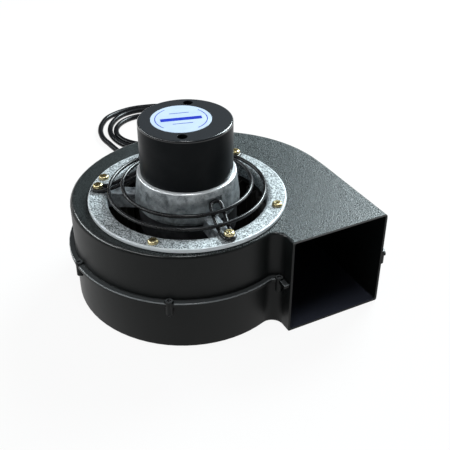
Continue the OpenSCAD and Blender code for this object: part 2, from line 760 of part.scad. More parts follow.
// Rotor with its end rings
module rotor_core() {
    color("#777b7f") difference() {
        union() {
            translate([0, 0, stack_z]) cylinder(r = rotor_r, h = stack_h);
            translate([0, 0, stack_z - rotor_ring_h])
                cylinder(r = rotor_ring_r, h = stack_h + 2 * rotor_ring_h);
        }
        translate([0, 0, stack_z - rotor_ring_h - over])
            cylinder(d = shaft_d + 2 * seat_gap, h = stack_h + 2 * rotor_ring_h + 2 * over);
    }
}

// Retaining ring on the shaft, which rests on the lower bush
module shaft_clip() {
    color("#8d9296") translate([0, 0, shield_bush_z + bush_h + 0.15]) difference() {
        cylinder(d = bush_d - 1.5, h = clip_t);
        translate([0, 0, -over]) cylinder(d = shaft_d + 2 * seat_gap, h = clip_t + 2 * over);
    }
}

// Metal hub on the shaft, with a flange on the wheel's back plate
module impeller_hub() {
    color("#9ea2a6") difference() {
        union() {
            translate([0, 0, plate_top]) cylinder(r = hub_flange_r, h = hub_flange_t);
            translate([0, 0, plate_top]) cylinder(r = hub_r, h = hub_h);
            translate([0, 0, wheel_z]) cylinder(r = spigot_r, h = plate_t + bite);
        }
        translate([0, 0, wheel_z - over])
            cylinder(d = shaft_d + 2 * seat_gap, h = hub_h + plate_t + 2 * over);
        around(rivet_angles, rivet_circle_r)
            translate([0, 0, plate_top - over]) cylinder(r = rivet_r + seat_gap, h = hub_flange_t + 2 * over);
        translate([0, 0, grub_z]) rotate([0, 90, 0]) cylinder(d = grub_d + 2 * seat_gap, h = hub_r + over);
    }
}

// Rivets through the hub's flange and the back plate
module hub_rivets() {
    grip = plate_t + hub_flange_t;
    color("silver") around(rivet_angles, rivet_circle_r) {
        translate([0, 0, wheel_z - rivet_head_h]) cylinder(r = rivet_head_r, h = rivet_head_h);
        translate([0, 0, wheel_z - rivet_head_h]) cylinder(r = rivet_r, h = grip + 2 * rivet_head_h);
        translate([0, 0, wheel_z + grip]) cylinder(r = rivet_head_r, h = rivet_head_h);
    }
}

// Grub screw that fixes the hub on the shaft
module hub_grub_screw() {
    from = shaft_d / 2 + seat_gap;
    color("#3a3a3a") translate([from, 0, grub_z]) rotate([0, 90, 0]) difference() {
        cylinder(d = grub_d, h = hub_r - from);
        translate([0, 0, hub_r - from - 2]) cylinder(d = grub_d * 0.55, h = 3, $fn = 6);
    }
}

// Back plate of the wheel
module wheel_plate() {
    color("#1a1b1d") translate([0, 0, wheel_z]) difference() {
        cylinder(r = wheel_r, h = plate_t);
        translate([0, 0, -over]) cylinder(r = spigot_r + seat_gap, h = plate_t + 2 * over);
        around(rivet_angles, rivet_circle_r)
            translate([0, 0, -over]) cylinder(r = rivet_r + seat_gap, h = plate_t + 2 * over);
    }
}

// Forward-curved blades between the back plate and the rim
module wheel_blades() {
    color("#1a1b1d") for (i = [0:blade_count - 1])
        rotate([0, 0, 360 * i / blade_count]) translate([blade_c.x, blade_c.y, plate_top + seat_gap])
            rotate([0, 0, blade_from]) rotate_extrude(angle = blade_to - blade_from)
                translate([blade_curve - blade_t / 2, 0])
                    square([blade_t, wheel_top - plate_top - plate_t - 2 * seat_gap]);
}

// Rim of the wheel at the inlet
module wheel_rim() {
    color("#1a1b1d") translate([0, 0, wheel_top - plate_t]) difference() {
        cylinder(r = wheel_r, h = plate_t);
        translate([0, 0, -over]) cylinder(r = rim_in_r, h = plate_t + 2 * over);
    }
}

lower_housing();
upper_housing();
seam_screws();
ring_gasket();
bracket_ring();
bracket_arms();
motor_collar();
ring_screws();
guard_low_ring();
guard_high_ring();
guard_hairpins();
guard_screws();
stator_core();
stator_winding();
end_shield();
lower_bush();
upper_bridge();
upper_bush();
motor_cap();
motor_bolts();
cap_label();
cable_boot();
lead_run();
lead_coil();
lead_tail();
lead_cores();
core_ferrules();
motor_shaft();
rotor_core();
shaft_clip();
impeller_hub();
hub_rivets();
hub_grub_screw();
wheel_plate();
wheel_blades();
wheel_rim();
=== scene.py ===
# %% [markdown]
# # Dressing a centrifugal fan
# The solids of the fan are already exact: a volute housing in two halves, a cast bracket, a wire guard,
# a capped motor and a wheel. They could be rendered as they are, but moulded and cast parts never have
# knife edges or one flat colour. So this lesson keeps every solid where it is, eases the edges of the
# pieces that show, models the small hardware by hand, and gives each finish its own procedural material.

# %% Load the frame
import json
import math

import bpy
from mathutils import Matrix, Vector

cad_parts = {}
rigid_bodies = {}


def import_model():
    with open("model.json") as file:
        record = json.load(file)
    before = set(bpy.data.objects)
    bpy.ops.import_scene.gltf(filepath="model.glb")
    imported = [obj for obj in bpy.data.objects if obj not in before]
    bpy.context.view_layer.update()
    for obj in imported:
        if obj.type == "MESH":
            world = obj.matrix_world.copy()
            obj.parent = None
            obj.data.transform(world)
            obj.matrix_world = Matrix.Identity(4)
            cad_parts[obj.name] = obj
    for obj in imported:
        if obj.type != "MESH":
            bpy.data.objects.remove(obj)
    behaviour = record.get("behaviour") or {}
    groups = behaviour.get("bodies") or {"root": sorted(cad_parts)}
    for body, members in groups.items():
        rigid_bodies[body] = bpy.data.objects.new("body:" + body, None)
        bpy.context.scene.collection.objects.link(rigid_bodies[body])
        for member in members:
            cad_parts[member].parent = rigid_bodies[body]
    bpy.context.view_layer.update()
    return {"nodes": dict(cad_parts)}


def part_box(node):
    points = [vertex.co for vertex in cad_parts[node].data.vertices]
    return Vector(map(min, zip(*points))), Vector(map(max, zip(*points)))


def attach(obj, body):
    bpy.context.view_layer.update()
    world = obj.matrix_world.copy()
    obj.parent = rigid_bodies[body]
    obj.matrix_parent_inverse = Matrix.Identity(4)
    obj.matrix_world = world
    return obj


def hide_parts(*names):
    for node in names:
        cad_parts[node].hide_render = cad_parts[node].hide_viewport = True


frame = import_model()
nodes = frame["nodes"]
MM = 0.001

# %% [markdown]
# ## The camera
# The photograph was taken from above, over the corner between the outlet and the front of the housing.
# A camera could be aimed with a constraint, but a fixed place and a tracked turn are easier to read. The
# long lens keeps the upright edges of the outlet nearly parallel.

# %% Camera at the photograph's viewing angle
view_from = Vector((467.9, -209.0, 400.1)) * MM
view_to = Vector((17.6, 23.9, 60.0)) * MM
camera_data = bpy.data.cameras.new("photo_camera")
camera_data.sensor_width = 36
camera_data.lens = 61.22
camera = bpy.data.objects.new("photo_camera", camera_data)
camera.location = view_from
camera.rotation_euler = (view_to - view_from).to_track_quat("-Z", "Y").to_euler()
bpy.context.scene.collection.objects.link(camera)
bpy.context.scene.camera = camera
print(f"Camera {(view_to - view_from).length:.3f} m from the middle of the fan")

# %% [markdown]
# ## The lead
# A round mains lead leaves the back of the motor cap, drops over the edge of the housing and lies on the
# floor in a loose coil. A mesh tube would need its rings turned by hand; a Bezier curve with automatic
# handles and a round bevel follows the same points smoothly and keeps its real length. The first points
# are the way down to the floor. The coil is worked out from the angle turned, the radius there and a
# sideways shift of its middle, because the turns of a loose coil never share one centre.

# %% Route of the lead
lead_d = 6 * MM
lead_down = [
    (-33, 4.64, 115), (-42, 5.9, 115), (-51, 7.17, 115), (-60.5, 8.5, 115), (-70, 10.6, 113.5),
    (-80, 13.7, 109.2), (-90, 17.7, 102.9), (-99.5, 22.1, 95.8), (-108.5, 26.6, 88), (-116, 31.1, 79),
    (-122.5, 35.1, 67.5), (-127, 38, 55), (-131, 40, 42), (-136, 41.5, 29.5), (-143, 42.5, 18),
    (-153, 42.5, 8.6), (-166, 40.5, 4), (-181, 37.5, 3), (-197, 34, 3), (-213, 30.5, 3), (-229, 27.3, 3),
    (-245, 25, 3), (-259.3, 23.4, 3),
]
coil_middle = (-273, 88)
coil_start = -78
coil_end = 912
coil_step = 12
coil_z = 3
coil_radii = [(0, 66), (60, 66), (110, 57), (150, 55), (320, 57), (372, 55.5), (400, 55), (435, 55),
              (470, 49.5), (510, 48.5), (700, 37), (920, 36)]
coil_shifts = [(0, 0), (490, 0), (700, -12.3), (920, -12.3)]


def between(turn, table):
    """Value of a table of (turn, value) at a turned angle, on straight lines between its rows."""
    for (t0, v0), (t1, v1) in zip(table, table[1:]):
        if turn <= t1:
            return v0 + (v1 - v0) * (turn - t0) / (t1 - t0)


def coil_point(turn):
    """Place on the floor after that angle, clockwise from above, in millimetres."""
    angle = math.radians(coil_start - turn)
    radius = between(turn, coil_radii)
    x = coil_middle[0] + radius * math.cos(angle)
    y = coil_middle[1] + between(turn, coil_shifts) + radius * math.sin(angle)
    return (x, y, coil_z)


lead_route = lead_down + [coil_point(t) for t in range(coil_step, coil_end + 1, coil_step)]
lead_route = [Vector(p) * MM for p in lead_route]
lead_length = sum((b - a).length for a, b in zip(lead_route, lead_route[1:]))
print(f"Lead of {lead_length:.2f} m through {len(lead_route)} points")

# %% The lead as a curve
def round_wire(name, route, diameter, steps, closed=False):
    """Round curve through a route. Its points hold the radius, because a curve's box grows by that."""
    wire = bpy.data.curves.new(name, "CURVE")
    wire.dimensions = "3D"
    wire.resolution_u = 6
    wire.bevel_depth = 1
    wire.bevel_resolution = steps
    wire.use_fill_caps = not closed
    spline = wire.splines.new("BEZIER")
    spline.bezier_points.add(len(route) - 1)
    spline.use_cyclic_u = closed
    for point, place in zip(spline.bezier_points, route):
        point.co = place
        point.radius = diameter / 2
        point.handle_left_type = point.handle_right_type = "AUTO"
    piece = bpy.data.objects.new(name, wire)
    bpy.context.scene.collection.objects.link(piece)
    return piece


lead = round_wire("mains_lead", lead_route, lead_d, 5)
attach(lead, "fan")
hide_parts("lead_run", "lead_coil", "lead_tail")
print(f"{lead.name} starts at {tuple(round(v, 3) for v in lead_route[0])}")

# %% [markdown]
# ## Working copies of the solids
# A solid comes in as loose triangles. To ease its edges it is copied, its doubled points are merged, and
# the triangles of each flat face are dissolved into one face, so that only real edges are left to bevel.
# A bevel modifier on the original could do nearly the same, but it can't tell a housing's rounded top
# edge from the sharp edge of a screw hole. Selecting the edges in code can.

# %% Helpers for pieces
DOUBLES = 0.002 * MM
FLAT = math.radians(0.6)
SHARP = math.radians(32)


def deselect():
    """Nothing selected: the frame leaves its nodes selected."""
    bpy.ops.object.select_all(action="DESELECT")


def make_active(piece):
    """Selects one object alone and makes it the active one."""
    deselect()
    piece.select_set(True)
    bpy.context.view_layer.objects.active = piece


def enter_edit():
    """To edit mode, with what is picked there."""
    bpy.ops.object.mode_set(mode="EDIT")


def leave_edit():
    """Back to object mode."""
    bpy.ops.object.mode_set(mode="OBJECT")


def copy_of(node, name):
    """Copy of a node as a piece of its own, merged into one skin with its flat faces whole."""
    make_active(nodes[node])
    bpy.ops.object.duplicate()
    piece = bpy.context.active_object
    piece.name = piece.data.name = name
    for key in list(piece.keys()):
        del piece[key]
    bpy.ops.object.parent_clear(type="CLEAR_KEEP_TRANSFORM")
    piece.data.materials.clear()
    enter_edit()
    bpy.ops.mesh.select_all(action="SELECT")
    bpy.ops.mesh.remove_doubles(threshold=DOUBLES)
    bpy.ops.mesh.customdata_custom_splitnormals_clear()
    bpy.ops.mesh.dissolve_limited(angle_limit=FLAT)
    leave_edit()
    return piece


def pick_none(piece, kind):
    """Enters edit mode on a piece with nothing picked, ready for edges or faces."""
    make_active(piece)
    enter_edit()
    bpy.ops.mesh.select_mode(type=kind)
    bpy.ops.mesh.select_all(action="DESELECT")


def pick_edges(piece, wanted, sharp=False):
    """Enters edit mode with the edges picked, all or sharp ones, whose end points pass the test."""
    pick_none(piece, "EDGE")
    if sharp:
        bpy.ops.mesh.edges_select_sharp(sharpness=SHARP)
    else:
        bpy.ops.mesh.select_all(action="SELECT")
    leave_edit()
    points = piece.data.vertices
    for edge in piece.data.edges:
        edge.select = edge.select and wanted(*(points[i].co for i in edge.vertices))
    for item in (*points, *piece.data.polygons):
        item.select = False
    enter_edit()


def pick_faces(piece, wanted=lambda face: True):
    """Enters edit mode with the faces picked that pass the test."""
    pick_none(piece, "FACE")
    leave_edit()
    for face in piece.data.polygons:
        face.select = wanted(face)
    enter_edit()


def bevel_sharp(piece, width, segments, wanted=lambda a, b: True, clamp=True):
    """Bevels the sharp edges of a piece whose two end points pass the test."""
    pick_edges(piece, wanted, sharp=True)
    bpy.ops.mesh.bevel(offset=width, segments=segments, affect="EDGES", clamp_overlap=clamp)
    leave_edit()


def finish_piece(piece, body, slot, *replaced):
    """Smooth shading that keeps flat faces flat, then the piece's body and nodes; its slot is not used."""
    make_active(piece)
    bpy.ops.object.shade_smooth_by_angle(angle=SHARP)
    evened = piece.modifiers.new("even_shading", "WEIGHTED_NORMAL")
    evened.keep_sharp = True
    bpy.ops.object.modifier_apply(modifier=evened.name)
    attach(piece, body)
    if replaced:
        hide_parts(*replaced)
    print(f"{piece.name}: {len(piece.data.polygons)} faces")
    return piece


# %% [markdown]
# ## The housing
# Two black mouldings meet at a flange half way up. The upper one has a soft rounded edge round its top,
# which catches a long highlight. It is full round the scroll and tightens towards the outlet, so a bevel
# modifier takes it from a weight on each edge. The lower half and the inside are rounded less, and all
# the other edges are only eased, as they come out of a polished tool. The flange's faces and the tops of
# its bosses are marked, so that the plastic can give them a polished coat and a paler painted highlight.

# %% Housing halves
housing_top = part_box("upper_housing")[1].z
outlet_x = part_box("upper_housing")[1].x
housing_wall = 1.8 * MM
top_round = 3.8 * MM
tight_share = 0.5
tight_from = 10 * MM
inner_round = 2.0 * MM
bottom_round = 1.4 * MM
seam_z = 43.8 * MM
flange_top = seam_z + 1.5 * MM
flange_round = 0.7 * MM
flat_share = 0.25
boss_top = seam_z + 2.7 * MM
boss_share = 0.4
eased = 0.45 * MM
near = 0.01 * MM
inlet_reach = 76 * MM


def on_outline(z):
    """Test for edges of the housing's outline at that height, the mouth of the outlet left out."""
    def test(a, b):
        level = abs(a.z - z) < near and abs(b.z - z) < near
        outside = min(a.xy.length, b.xy.length) > inlet_reach
        return level and outside and min(a.x, b.x) < outlet_x - near
    return test


def round_top(piece, wanted):
    """Rounds the picked edges in full round the scroll and less towards the outlet."""
    weights = piece.data.attributes.new("bevel_weight_edge", "FLOAT", "EDGE")
    points = piece.data.vertices
    for edge, weight in zip(piece.data.edges, weights.data):
        a, b = (points[i].co for i in edge.vertices)
        along = ((a.x + b.x) / 2 - tight_from) / (outlet_x - tight_from)
        weight.value = wanted(a, b) * (1 - (1 - tight_share) * min(max(along, 0), 1))
    bevel = piece.modifiers.new("round_top", "BEVEL")
    bevel.limit_method = "WEIGHT"
    bevel.width = top_round
    bevel.segments = 6
    make_active(piece)
    bpy.ops.object.modifier_apply(modifier=bevel.name)
    piece.data.attributes.remove(piece.data.attributes["bevel_weight_edge"])


upper_shell = copy_of("upper_housing", "upper_shell")
round_top(upper_shell, on_outline(housing_top))
bevel_sharp(upper_shell, inner_round, 4, on_outline(housing_top - housing_wall))
bevel_sharp(upper_shell, flange_round, 3, on_outline(flange_top), clamp=False)
bevel_sharp(upper_shell, eased, 2)
# Marks for a polished coat and a painted highlight: full on the flange's rounded edge, less on its top face
# and the boss tops.
flange_mark = upper_shell.data.attributes.new("flange_coat_and_painted_highlight", "FLOAT", "FACE")
for face, mark in zip(upper_shell.data.polygons, flange_mark.data):
    heights = [upper_shell.data.vertices[i].co.z for i in face.vertices]
    on_edge = min(heights) > flange_top - flange_round - near and max(heights) < flange_top + near
    mark.value = on_edge * (1.0 if max(heights) - min(heights) > near else flat_share)
    if min(heights) > boss_top - eased - near and max(heights) < boss_top + near:
        mark.value = boss_share
edge_count = sum(mark.value == 1 for mark in flange_mark.data)
print(f"{edge_count} faces on the flange's rounded edge, its top at {flange_top / MM:.1f} mm")
finish_piece(upper_shell, "fan", "housing_plastic", "upper_housing")
lower_shell = copy_of("lower_housing", "lower_shell")
bevel_sharp(lower_shell, bottom_round, 4, on_outline(0))
bevel_sharp(lower_shell, inner_round, 4, on_outline(housing_wall))
bevel_sharp(lower_shell, eased, 2)
finish_piece(lower_shell, "fan", "housing_plastic", "lower_housing")

# %% [markdown]
# ## The cast bracket
# Ring, arms and collar are one aluminium casting. Castings have fuller edges than mouldings because the
# molten metal doesn't fill a sharp corner, so the bevels are wider here.

# %% Bracket
cast_edge = 0.6 * MM
for node, width in (("bracket_ring", 0.3 * MM), ("bracket_arms", cast_edge), ("motor_collar", cast_edge)):
    casting = copy_of(node, node.replace("_", "_cast_"))
    bevel_sharp(casting, width, 3)
    finish_piece(casting, "fan", "cast_aluminium", node)

# %% [markdown]
# ## The motor cap
# A turned-looking black cap with two deep wells for the bolts. Its top edge is already rounded in the
# solid, so only the rims of the wells are eased.

# %% Cap
motor_cover = copy_of("motor_cap", "motor_cover")
bevel_sharp(motor_cover, eased, 2)
finish_piece(motor_cover, "fan", "cap_plastic", "motor_cap")

# %% [markdown]
# ## Wheel, seals and inner parts
# The wheel shows through the inlet as a row of dark upright blades, and the gasket as a thin dark line
# under the ring. Their shapes are right already, so their copies only get a small ease on the edges.

# %% Pieces that only need an ease
for node, name, body, slot, width in (
    ("wheel_plate", "wheel_back", "wheel", "wheel_plastic", 0.3 * MM),
    ("wheel_blades", "wheel_vanes", "wheel", "wheel_plastic", 0.12 * MM),
    ("wheel_rim", "wheel_inlet_rim", "wheel", "wheel_plastic", 0.3 * MM),
    ("impeller_hub", "wheel_hub", "wheel", "cast_aluminium", 0.3 * MM),
    ("end_shield", "motor_cup", "fan", "shield_metal", 0.4 * MM),
    ("seam_screws", "seam_screw_set", "fan", "bright_zinc", 0.08 * MM),
    ("ring_gasket", "inlet_gasket", "fan", "gasket_rubber", 0.1 * MM),
    ("cable_boot", "lead_boot", "fan", "boot_rubber", 0.25 * MM),
):
    piece = copy_of(node, name)
    bevel_sharp(piece, width, 2)
    finish_piece(piece, body, slot, node)

# %% [markdown]
# ## The wire guard
# Two rings of black wire lie on three hairpins, which are clamped by a screw each and rise into windows
# in the collar that stand a little beside the arms. A ring starts as a torus, and gets a small bead of
# weld wherever it crosses a leg. A hairpin starts as a closed curve, because its bends come out round by
# themselves, and is then made a mesh.

# %% Values of the guard
wire_d = 3 * MM
leg_y = 4.1 * MM
arm_angles = [math.radians(a) for a in (0, 120, 240)]
window_leans = [math.radians(a) for a in (6.5, 0, -13)]
ring_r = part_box("bracket_ring")[1].x
ring_width = 15.3 * MM
bend_in = 1.2 * MM
low_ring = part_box("guard_low_ring")
high_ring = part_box("guard_high_ring")
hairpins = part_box("guard_hairpins")
guard_z = hairpins[0].z + wire_d / 2
hairpin_top = hairpins[1].z - wire_d / 2
bend_r = ring_r - ring_width + bend_in
turn_r = hairpins[1].x - wire_d / 2 - leg_y
inner_r = 39.3 * MM
bend_ease = 2 * MM
corner = 1.6 * MM


def turn_by(piece, angle):
    """Turns a piece about the motor axis and leaves the turn in its mesh."""
    piece.rotation_euler.z = angle
    make_active(piece)
    bpy.ops.object.transform_apply(location=False, rotation=True, scale=False)


def join(pieces, name):
    """Joins pieces into the first one."""
    make_active(pieces[0])
    for piece in pieces[1:]:
        piece.select_set(True)
    bpy.ops.object.join()
    joined = bpy.context.active_object
    joined.name = joined.data.name = name
    return joined


def window_place(lean, y):
    """Place in a collar window, across from its middle by y, seen from the window's arm."""
    along = Vector((math.cos(lean), math.sin(lean), 0))
    across = Vector((-math.sin(lean), math.cos(lean), 0))
    return along * inner_r + across * y + Vector((0, 0, hairpin_top))


# %% Hairpins
turn_points = [math.radians(a) for a in (-90, -45, 0, 45, 90)]
around_screw = [Vector((turn_r + leg_y * math.cos(a), leg_y * math.sin(a), guard_z)) for a in turn_points]


def half_hairpin(lean, side):
    """Points of one leg, from the closing bar in the window out to the landing on the ring."""
    top = window_place(lean, side)
    bend = Vector((bend_r, side, guard_z))
    rise = (top - bend).normalized()
    inward = (window_place(lean, 0) - top).normalized()
    return [top + inward * corner, top - rise * corner, bend + rise * bend_ease,
            bend + Vector((bend_ease, 0, 0))]


def hairpin(lean):
    """Closed loop of wire round a screw, its inner end in a window beside the arm."""
    route = half_hairpin(lean, -leg_y) + around_screw + list(reversed(half_hairpin(lean, leg_y)))
    make_active(round_wire("hairpin", route, wire_d, 4, closed=True))
    bpy.ops.object.convert(target="MESH")
    return bpy.context.active_object


guard_parts = []
for arm, lean in zip(arm_angles, window_leans):
    guard_parts.append(hairpin(lean))
    turn_by(guard_parts[-1], arm)
guard_legs = join(guard_parts, "guard_legs")
finish_piece(guard_legs, "fan", "guard_wire", "guard_hairpins")

# %% Rings with their welds
weld_size = 1.1 * MM
weld_shape = (1.3, 1.3, 0.7)
weld_sink = 0.45


def guard_ring(box, name):
    """Wire ring with a bead of weld under it at each leg."""
    radius = box[1].x - wire_d / 2
    height = (box[0].z + box[1].z) / 2
    deselect()
    bpy.ops.mesh.primitive_torus_add(major_radius=radius, minor_radius=wire_d / 2, major_segments=120,
                                     minor_segments=14, location=(0, 0, height))
    ring = bpy.context.active_object
    bpy.ops.object.transform_apply(location=True, rotation=False, scale=False)
    parts = [ring]
    down = (bend_r - radius) / (bend_r - inner_r)
    for angle, lean in zip(arm_angles, window_leans):
        for side in (-leg_y, leg_y):
            crossing = Vector((bend_r, side, 0)).lerp(window_place(lean, side), down)
            deselect()
            bpy.ops.mesh.primitive_uv_sphere_add(
                segments=12, ring_count=8, radius=weld_size,
                location=(crossing.x, crossing.y, height - wire_d * weld_sink))
            bead = bpy.context.active_object
            bead.scale = weld_shape
            bpy.ops.object.transform_apply(location=True, rotation=False, scale=True)
            turn_by(bead, angle)
            parts.append(bead)
    return join(parts, name)


for box, name, node in ((low_ring, "guard_wide_ring", "guard_low_ring"),
                        (high_ring, "guard_small_ring", "guard_high_ring")):
    finish_piece(guard_ring(box, name), "fan", "guard_wire", node)

# %% [markdown]
# ## Screws
# The ring and the hairpins are held by pan-head screws with a cross recess. One screw is modelled: a
# cylinder whose top edge gets a wide bevel until it is a dome, a shank drawn out of its underside, and a
# tapered cross cut into the top with a boolean. The others are copies, each turned a little differently,
# because nobody lines up the slots.

# %% One pan screw
dome_share = 0.62
recess_width = 0.54
recess_slot = 0.14
recess_taper = 0.55
downward = -0.5


def faces_down(face):
    """Test for faces that look down."""
    return face.normal.z < downward


def cross_cutter(width, slot, top, depth):
    """Two crossed wedges that narrow downwards, for the recess of a screw."""
    wedges = []
    for turn in (0, math.pi / 2):
        deselect()
        bpy.ops.mesh.primitive_cube_add(size=1, location=(0, 0, top - depth / 2), rotation=(0, 0, turn),
                                        scale=(width, slot, depth * 2))
        bpy.ops.object.transform_apply(location=True, rotation=True, scale=True)
        wedge = bpy.context.active_object
        pick_faces(wedge, faces_down)
        bpy.ops.transform.resize(value=(recess_taper, recess_taper, 1), center_override=(0, 0, top))
        leave_edit()
        wedges.append(wedge)
    return wedges


def pan_screw(name, head_d, head_h, shank_d, shank_l):
    """Pan-head screw, its seat at the origin and its shank below."""
    deselect()
    bpy.ops.mesh.primitive_cylinder_add(vertices=48, radius=head_d / 2, depth=head_h,
                                        location=(0, 0, head_h / 2))
    screw = bpy.context.active_object
    screw.name = screw.data.name = name
    bpy.ops.object.transform_apply(location=True, rotation=False, scale=False)
    pick_edges(screw, lambda a, b: min(a.z, b.z) > head_h - near)
    bpy.ops.mesh.bevel(offset=head_h * dome_share, segments=6, affect="EDGES")
    leave_edit()
    pick_faces(screw, faces_down)
    bpy.ops.mesh.inset(thickness=(head_d - shank_d) / 2)
    bpy.ops.mesh.extrude_region_move(TRANSFORM_OT_translate={"value": (0, 0, -shank_l)})
    leave_edit()
    for wedge in cross_cutter(head_d * recess_width, head_d * recess_slot, head_h, head_h * dome_share):
        cut = screw.modifiers.new("recess", "BOOLEAN")
        cut.object = wedge
        make_active(screw)
        bpy.ops.object.modifier_apply(modifier=cut.name)
        bpy.data.objects.remove(wedge)
    return screw


# %% Sets of screws
def screw_set(name, box, angles, radius, head_d, head_h, shank_d, slot, node, turns):
    """Copies of one screw round the motor axis, their tops at the top of the node's box."""
    seat = box[1].z - head_h
    first = pan_screw(name, head_d, head_h, shank_d, seat - box[0].z)
    placed = []
    for angle, turn in zip(angles, turns):
        twin = first.copy()
        twin.data = first.data.copy()
        bpy.context.scene.collection.objects.link(twin)
        around = math.radians(angle)
        twin.location = (radius * math.cos(around), radius * math.sin(around), seat)
        twin.rotation_euler.z = math.radians(turn)
        make_active(twin)
        bpy.ops.object.transform_apply(location=True, rotation=True, scale=False)
        placed.append(twin)
    bpy.data.objects.remove(first)
    return finish_piece(join(placed, name), "fan", slot, node)


m4_head_d = 8 * MM
m4_head_h = 2.6 * MM
m4_d = 4 * MM
ring_screw_r = ring_r - 5.9 * MM
guard_screw_r = ring_r - 7.2 * MM
bolt_r = 28.3 * MM
bolt_head_d = 7 * MM
bolt_head_h = 2.8 * MM
screw_set("ring_pan_screws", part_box("ring_screws"), (47.5, 135, 225, 315), ring_screw_r, m4_head_d,
          m4_head_h, m4_d, "yellow_zinc", "ring_screws", (20, 68, 5, 41))
screw_set("guard_pan_screws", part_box("guard_screws"), (0, 120, 240), guard_screw_r, m4_head_d,
          m4_head_h, m4_d, "yellow_zinc", "guard_screws", (35, 12, 70))
screw_set("motor_pan_bolts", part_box("motor_bolts"), (-29, 151), bolt_r, bolt_head_d, bolt_head_h, m4_d,
          "bright_zinc", "motor_bolts", (15, 60))

# %% [markdown]
# ## The label
# A thin round paper sticker lies a little off the middle of the cap. It is a filled circle, drawn up by
# the paper's thickness and eased at its cut edge. Its print is plain: a broad bar, thin lines above and
# below it, and an arc along the edge at the top and the bottom. A bar is a stretched plane, an arc is an
# edge swept by a spin, and all of it is drawn up by the thickness of the ink.

# %% Label
label_low, label_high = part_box("cap_label")
label_mid = (label_low + label_high) / 2
label_r = (label_high.x - label_low.x) / 2
label_t = label_high.z - label_low.z
cut_share = 0.4


def draw_up(thickness):
    """Draws the picked flat faces up into a sheet with its faces outward, and leaves edit mode."""
    bpy.ops.mesh.extrude_region_move(TRANSFORM_OT_translate={"value": (0, 0, thickness)})
    bpy.ops.mesh.select_all(action="SELECT")
    bpy.ops.mesh.normals_make_consistent(inside=False)
    leave_edit()


deselect()
bpy.ops.mesh.primitive_circle_add(vertices=128, radius=label_r, fill_type="NGON",
                                  location=(label_mid.x, label_mid.y, label_low.z))
paper = bpy.context.active_object
paper.name = paper.data.name = "cap_sticker"
bpy.ops.object.transform_apply(location=True, rotation=False, scale=False)
pick_faces(paper)
draw_up(label_t)
pick_edges(paper, lambda a, b: min(a.z, b.z) > label_high.z - near)
bpy.ops.mesh.bevel(offset=label_t * cut_share, segments=2, affect="EDGES")
leave_edit()
finish_piece(paper, "fan", "label_paper", "cap_label")

# %% Print on the label
ink_t = 0.05 * MM
print_turn = math.radians(75)
bar_length, bar_width, bar_up = 31 * MM, 4.6 * MM, -0.5 * MM
line_length, line_width = 15 * MM, 0.7 * MM
line_ups = (9.5 * MM, -8 * MM)
arc_r, arc_width = label_r - 3.4 * MM, 0.6 * MM
arc_starts, arc_sweep, arc_step = (40, 220), 100, 4
arc_seed = 0.1


def ink_bar(length, width, up):
    """Flat bar of print along X, moved up the label by its distance from the middle."""
    deselect()
    bpy.ops.mesh.primitive_plane_add(size=1, location=(0, up, 0))
    bar = bpy.context.active_object
    bar.scale = (length, width, 1)
    bpy.ops.object.transform_apply(location=True, rotation=False, scale=True)
    return bar


def ink_arc(radius, width, start, sweep):
    """Flat arc of print on the label, from an angle over a sweep, in degrees."""
    bar = ink_bar(width, width * arc_seed, 0)
    bar.location.x = radius
    make_active(bar)
    bpy.ops.object.transform_apply(location=True, rotation=False, scale=False)
    pick_edges(bar, lambda a, b: min(a.y, b.y) > 0)
    bpy.ops.mesh.spin(steps=sweep // arc_step, angle=math.radians(sweep), center=(0, 0, 0), axis=(0, 0, 1))
    leave_edit()
    turn_by(bar, math.radians(start))
    return bar


print_parts = [ink_bar(bar_length, bar_width, bar_up)]
print_parts += [ink_bar(line_length, line_width, up) for up in line_ups]
print_parts += [ink_arc(arc_r, arc_width, start, arc_sweep) for start in arc_starts]
label_print = join(print_parts, "sticker_print")
turn_by(label_print, print_turn)
pick_faces(label_print)
bpy.ops.mesh.remove_doubles(threshold=DOUBLES)
bpy.ops.transform.translate(value=(label_mid.x, label_mid.y, label_high.z))
draw_up(ink_t)
finish_piece(label_print, "fan", "label_paper")

# %% [markdown]
# ## Inner parts
# The rest of the motor is hidden by the cap and the collar. Those solids stay as they are, with a small
# geometry-nodes skin that merges their loose triangles and shades their round faces smoothly.

# %% Smooth skin for the solids that stay
skin = bpy.data.node_groups.new("smooth_skin", "GeometryNodeTree")
skin.interface.new_socket("Geometry", in_out="INPUT", socket_type="NodeSocketGeometry")
skin.interface.new_socket("Geometry", in_out="OUTPUT", socket_type="NodeSocketGeometry")
skin_in = skin.nodes.new("NodeGroupInput")
merge = skin.nodes.new("GeometryNodeMergeByDistance")
merge.inputs["Distance"].default_value = DOUBLES
angle = skin.nodes.new("GeometryNodeInputMeshEdgeAngle")
round_edge = skin.nodes.new("FunctionNodeCompare")
round_edge.operation = "LESS_THAN"
round_edge.inputs["B"].default_value = SHARP
smooth_faces = skin.nodes.new("GeometryNodeSetShadeSmooth")
smooth_edges = skin.nodes.new("GeometryNodeSetShadeSmooth")
smooth_edges.domain = "EDGE"
skin_out = skin.nodes.new("NodeGroupOutput")
skin.links.new(skin_in.outputs["Geometry"], merge.inputs["Geometry"])
skin.links.new(merge.outputs["Geometry"], smooth_faces.inputs["Geometry"])
skin.links.new(smooth_faces.outputs["Geometry"], smooth_edges.inputs["Geometry"])
skin.links.new(angle.outputs["Unsigned Angle"], round_edge.inputs["A"])
skin.links.new(round_edge.outputs["Result"], smooth_edges.inputs["Shade Smooth"])
skin.links.new(smooth_edges.outputs["Geometry"], skin_out.inputs["Geometry"])
